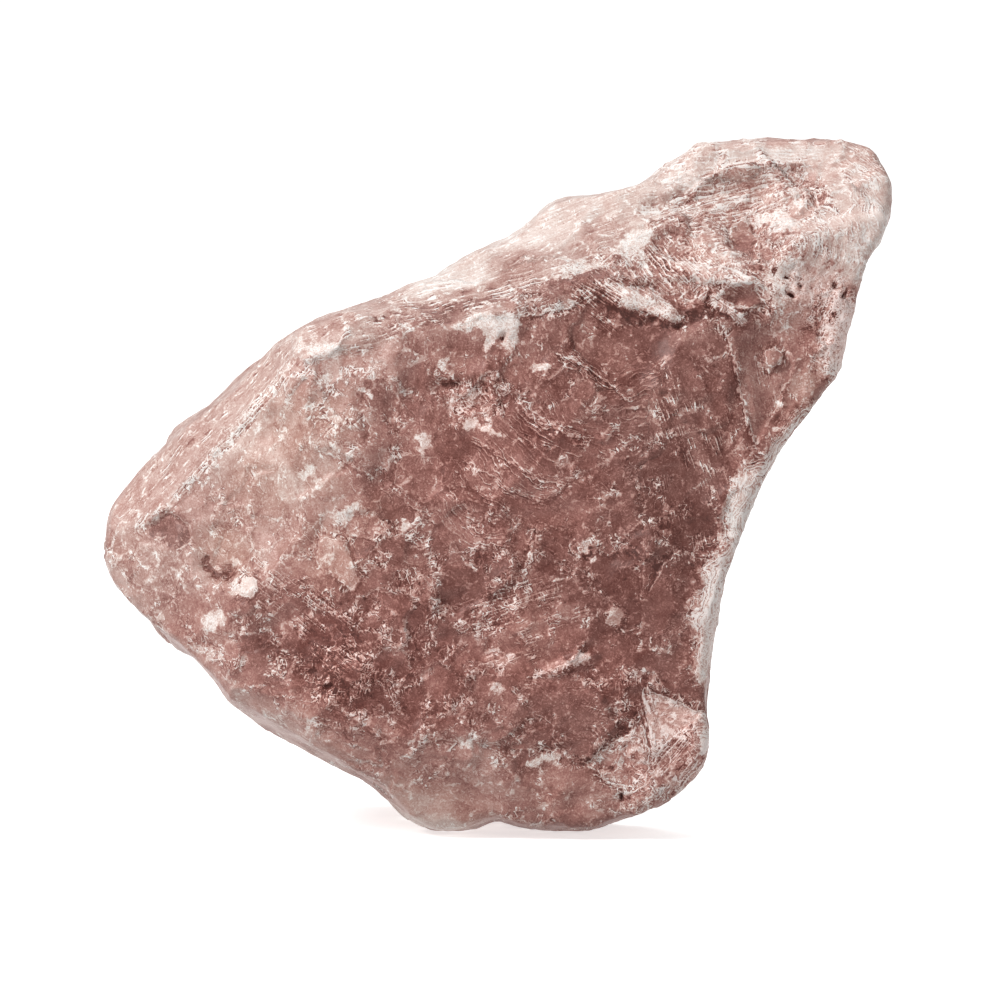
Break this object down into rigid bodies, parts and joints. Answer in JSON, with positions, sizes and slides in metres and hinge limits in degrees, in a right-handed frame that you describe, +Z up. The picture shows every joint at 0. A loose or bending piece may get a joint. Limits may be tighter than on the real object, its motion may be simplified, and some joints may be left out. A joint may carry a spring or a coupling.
{
  "type": "smoky quartz",
  "caption": "Rough hand-sized chunk of smoky quartz with a broad fracture face, a pointed end and a raised horn, standing on its flat foot.",
  "frame": {"origin": "under the middle of the stone, on the surface that it stands on", "axes": "+Z up, +X toward the horn and away from the pointed end, -Y out of the broad fracture face"},
  "size_m": [0.0788, 0.0386, 0.0688],
  "materials": {
    "smoky_quartz": "broken surface with a dull glassy sheen"
  },
  "bodies": {
    "root": {"smoky_quartz": "smoky_quartz"}
  },
  "joints": []
}
